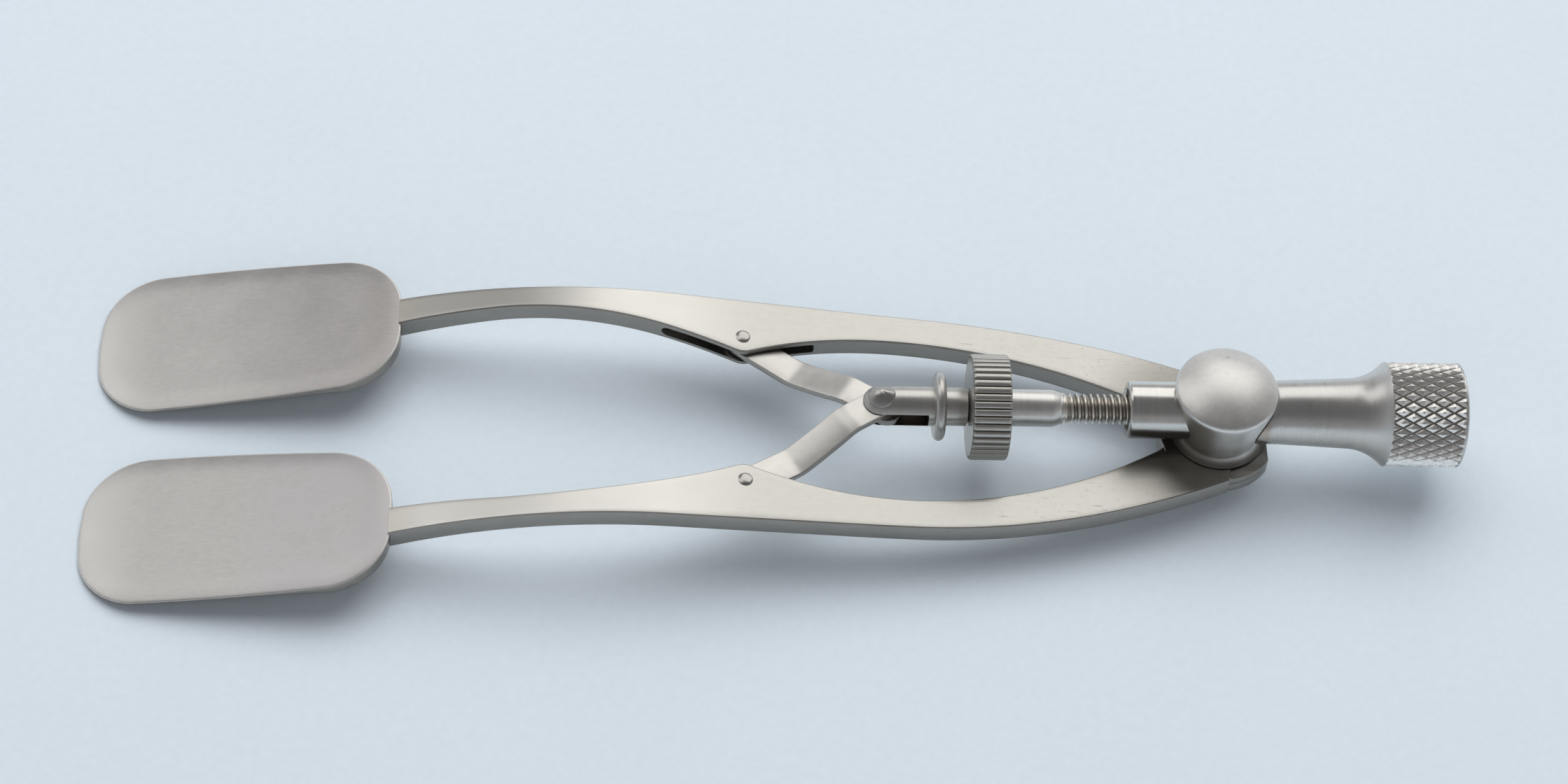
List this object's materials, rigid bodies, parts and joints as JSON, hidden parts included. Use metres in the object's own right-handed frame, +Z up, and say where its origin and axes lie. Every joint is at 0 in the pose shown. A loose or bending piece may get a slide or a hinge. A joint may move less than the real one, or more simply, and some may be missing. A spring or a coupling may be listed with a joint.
{
  "type": "eye speculum",
  "caption": "hand-held eye speculum with solid rounded lid blades on bowed arms, opened by links from a knurled screw beside a domed pivot post and knurled handle",
  "frame": {"origin": "on the table, on the pivot axis of the two arms", "axes": "+X along the screw from the blades to the handle, +Y to the right arm, +Z up along the pivot axis"},
  "size_m": [0.0799, 0.0234, 0.008],
  "materials": {
    "left_arm": "satin, brushed along its length",
    "right_arm": "satin, brushed along its length",
    "left_blade": "fine brushing along the blade",
    "right_blade": "fine brushing along the blade",
    "left_rivet": "polished head",
    "right_rivet": "polished head",
    "left_link": "satin",
    "right_link": "satin",
    "yoke": "turned, semi-bright",
    "yoke_pin": "peened and polished flush",
    "journal_collar": "turned",
    "thumb_wheel": "turned faces, straight knurl",
    "screw_spindle": "turned, semi-bright",
    "screw_thread": "cut thread, slightly dark roots",
    "sleeve": "turned, semi-bright",
    "thread_bush": "turned",
    "pivot_post": "bead-blasted satin dome and cone",
    "pivot_washer": "satin",
    "pivot_nut": "turned",
    "handle_collar": "turned, semi-bright",
    "handle": "turned stem, diamond-knurled knob",
    "end_cap": "turned, smooth"
  },
  "bodies": {
    "frame": {"pivot_post": "pivot_post", "pivot_washer": "pivot_washer", "pivot_nut": "pivot_nut", "sleeve": "sleeve", "thread_bush": "thread_bush", "handle_collar": "handle_collar", "handle": "handle", "end_cap": "end_cap"},
    "left_side": {"left_arm": "left_arm", "left_blade": "left_blade", "left_rivet": "left_rivet"},
    "right_side": {"right_arm": "right_arm", "right_blade": "right_blade", "right_rivet": "right_rivet"},
    "slider": {"yoke": "yoke", "yoke_pin": "yoke_pin"},
    "left_strut": {"left_link": "left_link"},
    "right_strut": {"right_link": "right_link"},
    "screw": {"screw_spindle": "screw_spindle", "screw_thread": "screw_thread", "thumb_wheel": "thumb_wheel", "journal_collar": "journal_collar"}
  },
  "joints": [
    {"name": "yoke_slide", "type": "slide", "parent": "frame", "child": "slider", "axis": [-1, 0, 0], "range_m": [-0.0004, 0.002]},
    {"name": "screw_turn", "type": "hinge", "parent": "slider", "child": "screw", "pos_m": [-0.0136, 0, 0.00496], "axis": [-1, 0, 0], "range_deg": [-360, 1800]},
    {"name": "left_arm_pivot", "type": "hinge", "parent": "frame", "child": "left_side", "pos_m": [0, 0, 0.0023], "axis": [0, 0, 1], "range_deg": [-1.19, 5.96]},
    {"name": "right_arm_pivot", "type": "hinge", "parent": "frame", "child": "right_side", "pos_m": [0, 0, 0.0023], "axis": [0, 0, -1], "range_deg": [-1.19, 5.96]},
    {"name": "left_link_pivot", "type": "hinge", "parent": "slider", "child": "left_strut", "pos_m": [-0.01995, 0, 0.00496], "axis": [0, 0, 1], "range_deg": [-4.73, 23.63]},
    {"name": "right_link_pivot", "type": "hinge", "parent": "slider", "child": "right_strut", "pos_m": [-0.01995, 0, 0.00496], "axis": [0, 0, -1], "range_deg": [-4.73, 23.63]}
  ],
  "couplings": [
    {"joint": "yoke_slide", "follows": "right_arm_pivot", "m_per_rad": 0.019227},
    {"joint": "screw_turn", "follows": "right_arm_pivot", "ratio": 302.01},
    {"joint": "left_arm_pivot", "follows": "right_arm_pivot", "ratio": 1},
    {"joint": "left_link_pivot", "follows": "right_arm_pivot", "ratio": 3.964},
    {"joint": "right_link_pivot", "follows": "right_arm_pivot", "ratio": 3.964}
  ]
}
